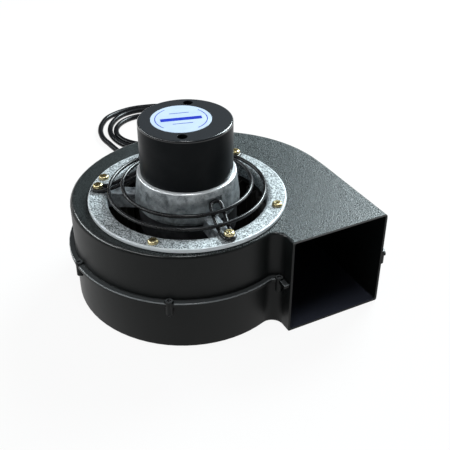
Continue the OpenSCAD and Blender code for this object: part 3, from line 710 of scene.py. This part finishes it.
kept = {
    "stator_core": "lamination", "rotor_core": "lamination", "stator_winding": "copper_winding",
    "lower_bush": "bronze", "upper_bush": "bronze", "upper_bridge": "cast_aluminium",
    "motor_shaft": "shaft_steel", "shaft_clip": "shaft_steel", "hub_rivets": "bright_zinc",
    "hub_grub_screw": "shaft_steel", "lead_cores": "core_sheath", "core_ferrules": "tinned",
}
for node in kept:
    nodes[node].modifiers.new("smooth_skin", "NODES").node_group = skin
print(f"{len(kept)} solids stay under a smooth skin")

# %% [markdown]
# ## Shared effects
# Several finishes need the same things: the fine spark grain of a mould, slow patches of wear and
# handling, thin scratches, and the crystal mottle of cast metal. Each is a node group, built once from
# Object coordinates, so a pattern keeps its real size on every piece, and each material then chooses its
# own values. A painted image could do this too, but it would need a file and an unwrapped mesh.

# %% Helpers for nodes
finishes = {}


def set_inputs(tree, node, values):
    """Sets a node's inputs to values, or links them where a socket is given."""
    for label, value in values.items():
        if isinstance(value, bpy.types.NodeSocket):
            tree.links.new(value, node.inputs[label])
        else:
            node.inputs[label].default_value = value


def add(tree, kind, values=None, **settings):
    """New node with its settings and its inputs set."""
    made = tree.nodes.new(kind)
    for label, value in settings.items():
        setattr(made, label, value)
    set_inputs(tree, made, values or {})
    return made


def calc(tree, operation, *values, **settings):
    """Result of a math node on numbers or sockets."""
    made = add(tree, "ShaderNodeMath", dict(enumerate(values)), operation=operation, **settings)
    return made.outputs["Value"]


def new_material(name):
    """New finish by that name: its node tree and its shader."""
    finishes[name] = bpy.data.materials.new(name)
    finishes[name].use_nodes = True
    tree = finishes[name].node_tree
    return tree, tree.nodes["Principled BSDF"]


def new_group(name, inputs, outputs):
    """Empty shader group with float inputs and outputs, and its two end nodes."""
    group = bpy.data.node_groups.new(name, "ShaderNodeTree")
    for label, value in inputs.items():
        socket = group.interface.new_socket(label, in_out="INPUT", socket_type="NodeSocketFloat")
        socket.default_value = value
    for label in outputs:
        group.interface.new_socket(label, in_out="OUTPUT", socket_type="NodeSocketFloat")
    return group, add(group, "NodeGroupInput"), add(group, "NodeGroupOutput")


def object_place(tree):
    """Object coordinates of the surface."""
    return add(tree, "ShaderNodeTexCoord").outputs["Object"]


def part_of(tree, vector, axis):
    """One part of a vector, along X, Y or Z."""
    return add(tree, "ShaderNodeSeparateXYZ", {"Vector": vector}).outputs[axis]


def spread(tree, value, low, high):
    """Stretches a value between low and high to the range from 0 to 1."""
    stretched = add(tree, "ShaderNodeMapRange", {"Value": value, "From Min": low, "From Max": high})
    return stretched.outputs["Result"]


def ranged(tree, value, low, high):
    """Turns a value from 0 to 1 into one from low to high."""
    moved = add(tree, "ShaderNodeMapRange", {"Value": value, "To Min": low, "To Max": high})
    return moved.outputs["Result"]


# %% Grain, patches, scratches and mottle
speckle_range = (0.41, 0.61)
patch_range = (0.34, 0.66)
streak_range = (0.66, 0.74)
streak_turns = ((0.5, 22.0), (-0.9, 16.0), (1.7, 28.0))
mottle_range = (0.08, 0.38)
grain, g_in, g_out = new_group("moulded_grain", {"Scale": 900.0}, ["Speckle", "Height"])
fine = add(grain, "ShaderNodeTexNoise", {"Vector": object_place(grain), "Scale": g_in.outputs["Scale"],
                                         "Detail": 2.0, "Roughness": 0.6}).outputs["Fac"]
pits = add(grain, "ShaderNodeTexVoronoi", {"Vector": object_place(grain), "Scale": g_in.outputs["Scale"]},
           feature="SMOOTH_F1")
grain.links.new(spread(grain, fine, *speckle_range), g_out.inputs["Speckle"])
grain.links.new(calc(grain, "ADD", fine, pits.outputs["Distance"]), g_out.inputs["Height"])

patches, p_in, p_out = new_group("worn_patches", {"Scale": 30.0}, ["Mask"])
cloud = add(patches, "ShaderNodeTexNoise", {"Vector": object_place(patches), "Scale": p_in.outputs["Scale"],
                                            "Detail": 5.0, "Roughness": 0.62, "Distortion": 0.4})
patches.links.new(spread(patches, cloud.outputs["Fac"], *patch_range), p_out.inputs["Mask"])

scratches, s_in, s_out = new_group("thin_scratches", {"Scale": 60.0, "Amount": 0.5}, ["Mask"])
streaks = []
for turn, stretch in streak_turns:
    turned = add(scratches, "ShaderNodeMapping", {"Vector": object_place(scratches),
                                                  "Rotation": (0.2 * turn, 0.3, turn),
                                                  "Scale": (1.0, stretch, stretch)})
    streak = add(scratches, "ShaderNodeTexNoise", {"Vector": turned.outputs["Vector"],
                                                   "Scale": s_in.outputs["Scale"], "Detail": 1.0})
    streaks.append(spread(scratches, streak.outputs["Fac"], *streak_range))
crossed = calc(scratches, "MAXIMUM", calc(scratches, "MAXIMUM", *streaks[:2]), streaks[2])
scratches.links.new(calc(scratches, "MULTIPLY", crossed, s_in.outputs["Amount"]), s_out.inputs["Mask"])

mottle, m_in, m_out = new_group("cast_mottle", {"Scale": 260.0}, ["Mask", "Height"])
crystals = add(mottle, "ShaderNodeTexVoronoi",
               {"Vector": object_place(mottle), "Scale": m_in.outputs["Scale"]}, feature="SMOOTH_F1")
stain = add(mottle, "ShaderNodeTexNoise", {"Vector": object_place(mottle), "Scale": m_in.outputs["Scale"],
                                           "Detail": 6.0, "Roughness": 0.7}).outputs["Fac"]
mixed = calc(mottle, "MULTIPLY", crystals.outputs["Distance"], stain)
mottle.links.new(spread(mottle, mixed, *mottle_range), m_out.inputs["Mask"])
mottle.links.new(stain, m_out.inputs["Height"])
print("Four shared effects: grain, patches, scratches and mottle")

# %% [markdown]
# ## Finishes
# Every finish is built the same way: two colours mixed by a mask, a roughness that moves with another
# mask, and a little bump. One function takes those choices, so the materials read as a table of finishes
# and the differences between them stand out. A mask is an effect with its scale and output, a roughness
# is two values and the scale of their patches, and a bump is an effect with its scale, strength and depth.
# Scratches have a scale, an amount and a colour, and a painted highlight on a rim or a top face has a mask
# and a colour.

# %% One function for all finishes
# Width of the ramp at the edge of a painted highlight's mask, and the roughness under it.
lit_face_ramp = 0.4 * MM
lit_face_rough = 0.24
coat_rough = 0.16
collar_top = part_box("motor_collar")[1].z
cap_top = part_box("motor_cap")[1].z
collar_rim = 0.7 * MM
cap_rim = 0.4 * MM
cap_round = 1.6 * MM
ring_rim = 0.9 * MM


def above(height):
    """Mask maker: everything above a height."""
    return lambda tree: spread(tree, part_of(tree, object_place(tree), "Z"), height - lit_face_ramp, height)


def beyond(radius):
    """Mask maker: everything farther from the motor axis than a radius."""
    def mask(tree):
        flat = add(tree, "ShaderNodeVectorMath", {0: object_place(tree), 1: (1, 1, 0)},
                   operation="MULTIPLY")
        out = add(tree, "ShaderNodeVectorMath", {0: flat.outputs["Vector"]}, operation="LENGTH")
        return spread(tree, out.outputs["Value"], radius - lit_face_ramp, radius)
    return mask


def group_node(tree, group, **values):
    """Outputs of a shared effect placed in a material with its own values."""
    return add(tree, "ShaderNodeGroup", values, node_tree=group).outputs


def mixed_colour(tree, mask, under, over):
    """Colour that goes by a mask from one, a value or a socket, to another over it."""
    if isinstance(under, tuple):
        under = (*under, 1)
    mix = add(tree, "ShaderNodeMix", {"Factor": mask, "A": under, "B": (*over, 1)}, data_type="RGBA")
    return mix.outputs["Result"]


def patchy(tree, low, high, scale):
    """Roughness that moves between two values in slow patches."""
    return ranged(tree, group_node(tree, patches, Scale=scale)["Mask"], low, high)


def add_bump(tree, shader, height, strength, distance):
    """Bump from a height on a shader."""
    bump = add(tree, "ShaderNodeBump", {"Height": height, "Strength": strength, "Distance": distance})
    set_inputs(tree, shader, {"Normal": bump.outputs["Normal"]})


def finish(name, dark, light, mask, rough, bump, metal=0.0, specular=0.5, scratch=None, turned=None,
           coat=None):
    """Material with its colour and roughness moved by a mask, its bump, scratches, painted highlight and
    coat.
    """
    tree, shader = new_material(name)
    group, scale, output = mask
    colour = mixed_colour(tree, group_node(tree, group, Scale=scale)[output], dark, light)
    roughness = patchy(tree, *rough)
    if scratch:
        marks = group_node(tree, scratches, Scale=scratch[0], Amount=scratch[1])
        colour = mixed_colour(tree, marks["Mask"], colour, scratch[2])
    # Painted highlight: a rim or a top face is painted paler by a mask, and made smoother.
    if turned:
        edge = turned[0](tree)
        colour = mixed_colour(tree, edge, colour, turned[1])
        roughness = ranged(tree, edge, roughness, lit_face_rough)
    if coat:
        set_inputs(tree, shader, {"Coat Weight": coat(tree), "Coat Roughness": coat_rough})
    set_inputs(tree, shader, {"Base Color": colour, "Roughness": roughness, "Metallic": metal,
                              "Specular IOR Level": specular})
    relief, relief_scale, strength, distance = bump
    add_bump(tree, shader, group_node(tree, relief, Scale=relief_scale)["Height"], strength, distance)


# %% Table of finishes
# Painted highlight: the cap's top face is painted paler than its sides for the sheen it catches; its
# rounded edge gets a coat.
finish("cap_plastic", (0.004, 0.005, 0.006), (0.008, 0.009, 0.010), (patches, 40.0, "Mask"),
       (0.28, 0.34, 30.0), (grain, 1500.0, 0.12, 0.00006), specular=0.05,
       turned=(above(cap_top - cap_rim), (0.021, 0.023, 0.026)), coat=above(cap_top - cap_round))
finish("wheel_plastic", (0.012, 0.012, 0.011), (0.034, 0.031, 0.027), (patches, 60.0, "Mask"),
       (0.38, 0.6, 40.0), (grain, 1200.0, 0.2, 0.00008))
# Painted highlight: the ring's outer rim is painted paler for the light it catches; the pale scratches are
# wear.
finish("cast_aluminium", (0.05, 0.058, 0.062), (0.51, 0.55, 0.57), (grain, 950.0, "Speckle"),
       (0.48, 0.66, 55.0), (mottle, 900.0, 0.6, 0.0006), metal=0.2,
       scratch=(120.0, 0.7, (0.74, 0.78, 0.80)), turned=(beyond(ring_r - ring_rim), (0.60, 0.63, 0.65)))
# The collar's top ledge is turned bright, and painted paler still as a painted highlight for the light it
# catches.
finish("cast_collar", (0.12, 0.135, 0.145), (0.48, 0.515, 0.535), (patches, 150.0, "Mask"),
       (0.32, 0.5, 55.0), (mottle, 700.0, 0.3, 0.0004), metal=0.5,
       scratch=(120.0, 0.5, (0.70, 0.74, 0.76)),
       turned=(above(collar_top - collar_rim), (0.86, 0.88, 0.90)))
# Painted shade: the arms get their own copy of the casting's finish, bluer and more metallic so it renders
# darker, for the shade on them.
finish("cast_arms", (0.06, 0.067, 0.077), (0.50, 0.53, 0.56), (patches, 170.0, "Mask"),
       (0.36, 0.56, 55.0), (mottle, 700.0, 0.4, 0.0005), metal=0.5)
finish("guard_wire", (0.006, 0.006, 0.007), (0.014, 0.014, 0.015), (patches, 120.0, "Mask"),
       (0.20, 0.28, 90.0), (grain, 1300.0, 0.1, 0.00005), specular=0.35)
finish("yellow_zinc", (0.44, 0.35, 0.17), (0.70, 0.61, 0.37), (patches, 220.0, "Mask"),
       (0.2, 0.36, 300.0), (mottle, 900.0, 0.1, 0.00006), metal=1.0)
finish("bright_zinc", (0.50, 0.51, 0.53), (0.75, 0.76, 0.78), (patches, 220.0, "Mask"),
       (0.22, 0.4, 300.0), (mottle, 900.0, 0.1, 0.00006), metal=1.0)
finish("gasket_rubber", (0.008, 0.008, 0.008), (0.016, 0.016, 0.016), (grain, 700.0, "Speckle"),
       (0.7, 0.85, 60.0), (grain, 700.0, 0.3, 0.0001))
finish("shield_metal", (0.012, 0.012, 0.014), (0.034, 0.034, 0.037), (mottle, 300.0, "Mask"),
       (0.4, 0.6, 70.0), (mottle, 500.0, 0.2, 0.00012))
finish("bronze", (0.42, 0.26, 0.12), (0.62, 0.42, 0.22), (mottle, 700.0, "Mask"),
       (0.3, 0.5, 200.0), (mottle, 900.0, 0.2, 0.00006), metal=1.0)
finish("shaft_steel", (0.46, 0.47, 0.49), (0.66, 0.67, 0.69), (patches, 150.0, "Mask"),
       (0.16, 0.3, 200.0), (mottle, 1200.0, 0.06, 0.00004), metal=1.0)
finish("tinned", (0.52, 0.52, 0.53), (0.74, 0.74, 0.75), (patches, 400.0, "Mask"),
       (0.25, 0.42, 400.0), (mottle, 1200.0, 0.1, 0.00004), metal=1.0)
finish("boot_rubber", (0.009, 0.009, 0.010), (0.018, 0.018, 0.018), (patches, 120.0, "Mask"),
       (0.5, 0.65, 120.0), (grain, 1200.0, 0.15, 0.00006))
finish("lead_sheath", (0.004, 0.004, 0.005), (0.008, 0.008, 0.009), (patches, 70.0, "Mask"),
       (0.22, 0.32, 50.0), (grain, 1200.0, 0.08, 0.00005), specular=0.16)
finish("label_paper", (0.355, 0.43, 0.53), (0.39, 0.465, 0.57), (patches, 90.0, "Mask"),
       (0.38, 0.5, 80.0), (grain, 1800.0, 0.05, 0.00003))
finish("label_ink", (0.004, 0.016, 0.30), (0.008, 0.028, 0.38), (patches, 300.0, "Mask"),
       (0.38, 0.5, 200.0), (grain, 1800.0, 0.05, 0.00003), specular=0.15)
print(f"{len(finishes)} finishes in the table")

# %% [markdown]
# ## The moulded shell
# Only the top of the housing is grained. The sides of the mould are polished, or the part would tear as
# it is drawn out of it. Two materials on picked faces could do this, but the rounded edge would then show
# a hard line, so one material fades its grain out by height, and leaves less of it towards the left of the
# picture. In colour that fade is a painted shade: the pale specks thin out where the light's sheen falls
# least. Hands and cloths have rubbed the rounded top edge and the marked faces of the flange, so those get
# a thin polished coat that draws a bright line along them, and the marked faces are also painted paler, a
# painted highlight. The floor of the channel is painted paler too, a painted light that shows as the pale
# ground inside the outlet.

# %% Housing plastic
grain_from, grain_to = housing_top - 0.9 * MM, housing_top - 0.05 * MM
round_from, round_to = housing_top - 1.7 * MM, housing_top - 1.3 * MM
# Heights over which the painted light on the channel's floor fades out.
lit_floor_from, lit_floor_to = housing_wall + 1.0 * MM, housing_wall + 0.3 * MM
tilt_from, tilt_to = 0.6, 0.95
to_the_right = (0.459, 0.888, 0)
# Painted shade: where the grain's pale specks fade out towards the left, and where they are full on the
# sheen side.
shaded_left_until, sheen_right_from = -75 * MM, 25 * MM
shaded_left_share = 0.35
shell_black, speck_grey = (0.005, 0.006, 0.006), (0.085, 0.097, 0.100)
# Grey of the painted highlight on the flange, and grey of the painted light on the channel's floor.
painted_highlight_grey, painted_floor_light_grey = (0.15, 0.16, 0.165), (0.028, 0.031, 0.044)
smooth_rough, grained_rough = 0.40, 0.18
patch_rough, speck_rough = 0.05, 0.16
spark_strength, spark_depth = 0.45, 0.5 * MM
tree, shader = new_material("housing_plastic")
height = part_of(tree, object_place(tree), "Z")
grained = spread(tree, height, grain_from, grain_to)
sideways = add(tree, "ShaderNodeVectorMath", {0: object_place(tree), 1: to_the_right},
               operation="DOT_PRODUCT")
# Painted shade: fewer pale specks towards the left, where the light's sheen doesn't fall; roughness and
# bump fade with them.
sheen_side = spread(tree, sideways.outputs["Value"], shaded_left_until, sheen_right_from)
sharp = calc(tree, "MULTIPLY", calc(tree, "MULTIPLY_ADD", sheen_side, 1 - shaded_left_share, shaded_left_share), grained)
spark = group_node(tree, grain, Scale=1200.0)
specks = calc(tree, "MULTIPLY", spark["Speckle"], sharp)
on_flange = add(tree, "ShaderNodeAttribute", attribute_name="flange_coat_and_painted_highlight").outputs["Fac"]
on_round = calc(tree, "SUBTRACT", spread(tree, height, round_from, round_to), grained, use_clamp=True)
upward = part_of(tree, add(tree, "ShaderNodeNewGeometry").outputs["Normal"], "Z")
flat = spread(tree, upward, tilt_from, tilt_to)
# Painted light: the flat floor of the channel is painted paler, for the light that reaches inside the
# outlet.
painted_floor_light = calc(tree, "MULTIPLY", spread(tree, height, lit_floor_from, lit_floor_to), flat)
colour = mixed_colour(tree, specks, shell_black, speck_grey)
# Painted highlight: the marked flange faces and boss tops are painted paler for the light they catch.
colour = mixed_colour(tree, on_flange, colour, painted_highlight_grey)
colour = mixed_colour(tree, painted_floor_light, colour, painted_floor_light_grey)
satin = ranged(tree, sharp, smooth_rough, grained_rough)
dulled = calc(tree, "MULTIPLY_ADD", group_node(tree, patches, Scale=22.0)["Mask"], patch_rough, satin)
set_inputs(tree, shader, {
    "Base Color": colour, "Roughness": calc(tree, "MULTIPLY_ADD", specks, speck_rough, dulled),
    "Specular IOR Level": 0.17, "Coat Weight": calc(tree, "MAXIMUM", on_flange, on_round),
    "Coat Roughness": coat_rough})
sparked = calc(tree, "MULTIPLY", spark["Height"], sharp)
add_bump(tree, shader, sparked, spark_strength, spark_depth)
print("Housing plastic, grained on its top only")

# %% [markdown]
# ## Finishes with a pattern of their own
# Three parts have a pattern that the table can't give. The stator and the rotor are stacks of thin steel
# sheets, so their colour bands run up the axis. The winding is a bundle of lacquered wires, so its bump
# runs round the axis. The three cores of the lead each have their own colour, chosen by where they lie.

# %% Sheets, wires and cores
band_strength, band_depth = 0.3, 0.1 * MM


def banded(name, dark, light, rough, metal, scale):
    """Material of fine bands up the motor axis."""
    tree, shader = new_material(name)
    wave = add(tree, "ShaderNodeTexWave", {"Vector": object_place(tree), "Scale": scale, "Distortion": 1.2,
                                           "Detail": 2.0}, bands_direction="Z").outputs["Fac"]
    set_inputs(tree, shader, {"Base Color": mixed_colour(tree, wave, dark, light),
                              "Roughness": patchy(tree, *rough), "Metallic": metal})
    add_bump(tree, shader, wave, band_strength, band_depth)


banded("lamination", (0.10, 0.10, 0.11), (0.26, 0.26, 0.27), (0.4, 0.6, 90.0), 0.8, 320.0)
banded("copper_winding", (0.24, 0.07, 0.02), (0.52, 0.19, 0.06), (0.25, 0.4, 90.0), 0.7, 260.0)
core_low, core_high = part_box("lead_cores")
green_from, blue_from = 0.36, 0.66
brown, green, blue = (0.11, 0.035, 0.012, 1), (0.14, 0.30, 0.035, 1), (0.012, 0.07, 0.32, 1)
tree, shader = new_material("core_sheath")
across = part_of(tree, object_place(tree), "Y")
ramp = add(tree, "ShaderNodeValToRGB", {"Fac": spread(tree, across, core_low.y, core_high.y)})
brown_core, green_core = ramp.color_ramp.elements
ramp.color_ramp.interpolation = "CONSTANT"
brown_core.color = brown
green_core.position = green_from
green_core.color = green
ramp.color_ramp.elements.new(blue_from).color = blue
set_inputs(tree, shader, {"Base Color": ramp.outputs["Color"], "Roughness": patchy(tree, 0.32, 0.5, 200.0)})
print(f"{len(finishes)} finishes with those of the housing, the sheets, the wires and the cores")

# %% [markdown]
# ## Giving every piece its finish
# A table names the finish of each piece, so one loop can hand the materials out. The print on the label
# gets its ink by name in that table.

# %% Hand out the finishes
slots = {
    "mains_lead": "lead_sheath", "upper_shell": "housing_plastic", "lower_shell": "housing_plastic",
    "bracket_cast_ring": "cast_aluminium", "bracket_cast_arms": "cast_arms",
    "motor_cast_collar": "cast_collar", "motor_cover": "cap_plastic", "wheel_back": "wheel_plastic",
    "wheel_vanes": "wheel_plastic", "wheel_inlet_rim": "wheel_plastic", "wheel_hub": "cast_aluminium",
    "motor_cup": "shield_metal", "seam_screw_set": "bright_zinc", "inlet_gasket": "gasket_rubber",
    "lead_boot": "boot_rubber", "guard_legs": "guard_wire", "guard_wide_ring": "guard_wire",
    "guard_small_ring": "guard_wire", "ring_pan_screws": "yellow_zinc", "guard_pan_screws": "yellow_zinc",
    "motor_pan_bolts": "bright_zinc", "cap_sticker": "label_paper", "sticker_print": "label_ink",
}
for name, slot in {**slots, **kept}.items():
    piece = bpy.data.objects[name]
    if not piece.data.materials:
        piece.data.materials.append(finishes[slot])
    for holder in piece.material_slots:
        holder.material = finishes[slot]
print(f"{len(slots) + len(kept)} pieces have their finish")

# %% [markdown]
# ## Floor, light and background
# The photograph shows the fan on plain white with its top face bright and its front walls dark, so the
# main light is a large soft box behind it and to the right. Weaker ones are a box overhead and narrow
# strips at the near left, the left and the right, which draw the thin bright lines along rounded edges.
# The floor is grey for the lamps and glows for the eye and for reflections, so that it reads as white
# while a soft shadow stays.

# %% Floor
floor_size = 8.0
floor_drop = 0.5 * MM
glow_share = 0.92
deselect()
bpy.ops.mesh.primitive_plane_add(size=floor_size, location=(0, 0, 0))
floor = bpy.context.active_object
floor.name = floor.data.name = "floor"
pick_faces(floor)
bpy.ops.transform.translate(value=(0, 0, -floor_drop))
leave_edit()
tree, shader = new_material("floor_paint")
set_inputs(tree, shader, {"Base Color": (0.6, 0.6, 0.6, 1), "Roughness": 0.9, "Specular IOR Level": 0.1})
glow = add(tree, "ShaderNodeEmission", {"Color": (1, 1, 1, 1), "Strength": 1.0})
path = add(tree, "ShaderNodeLightPath").outputs
eye = calc(tree, "MAXIMUM", path["Is Camera Ray"], path["Is Glossy Ray"])
eye = calc(tree, "MAXIMUM", eye, path["Is Transmission Ray"])
blend = add(tree, "ShaderNodeMixShader", {0: calc(tree, "MULTIPLY", eye, glow_share),
                                          1: shader.outputs["BSDF"], 2: glow.outputs["Emission"]})
set_inputs(tree, tree.nodes["Material Output"], {"Surface": blend.outputs["Shader"]})
floor.data.materials.append(finishes["floor_paint"])
print(f"Floor of {floor_size:.1f} m")


# %% Lights
def soft_box(name, place, width, height, power, colour):
    """Area light aimed at the middle of the fan."""
    data = bpy.data.lights.new(name, "AREA")
    data.shape = "RECTANGLE"
    data.size = width
    data.size_y = height
    data.energy = power
    data.color = colour
    light = bpy.data.objects.new(name, data)
    light.location = place
    light.rotation_euler = (view_to - Vector(place)).to_track_quat("-Z", "Y").to_euler()
    bpy.context.scene.collection.objects.link(light)


soft_box("back_box", (-0.53, 1.02, 1.0), 0.6, 0.6, 44.0, (0.85, 0.97, 1.0))
soft_box("top_box", (0.30, -0.12, 1.45), 0.35, 0.35, 6.0, (0.96, 0.99, 1.0))
soft_box("near_strip", (0.15, -0.85, 0.91), 0.9, 0.12, 3.0, (0.97, 0.99, 1.0))
soft_box("left_strip", (-0.75, -1.0, 0.75), 1.6, 0.16, 11.0, (0.92, 0.98, 1.0))
soft_box("right_strip", (0.2, 1.18, 0.45), 0.25, 0.9, 5.0, (0.92, 0.98, 1.0))
world = bpy.data.worlds.new("studio")
world.use_nodes = True
bpy.context.scene.world = world
air = world.node_tree
set_inputs(air, air.nodes["Background"], {"Color": (1, 1, 1, 1), "Strength": 0.06})
print("Five soft lights and a pale world")

# %% Finish
bpy.context.scene.view_settings.view_transform = "Standard"
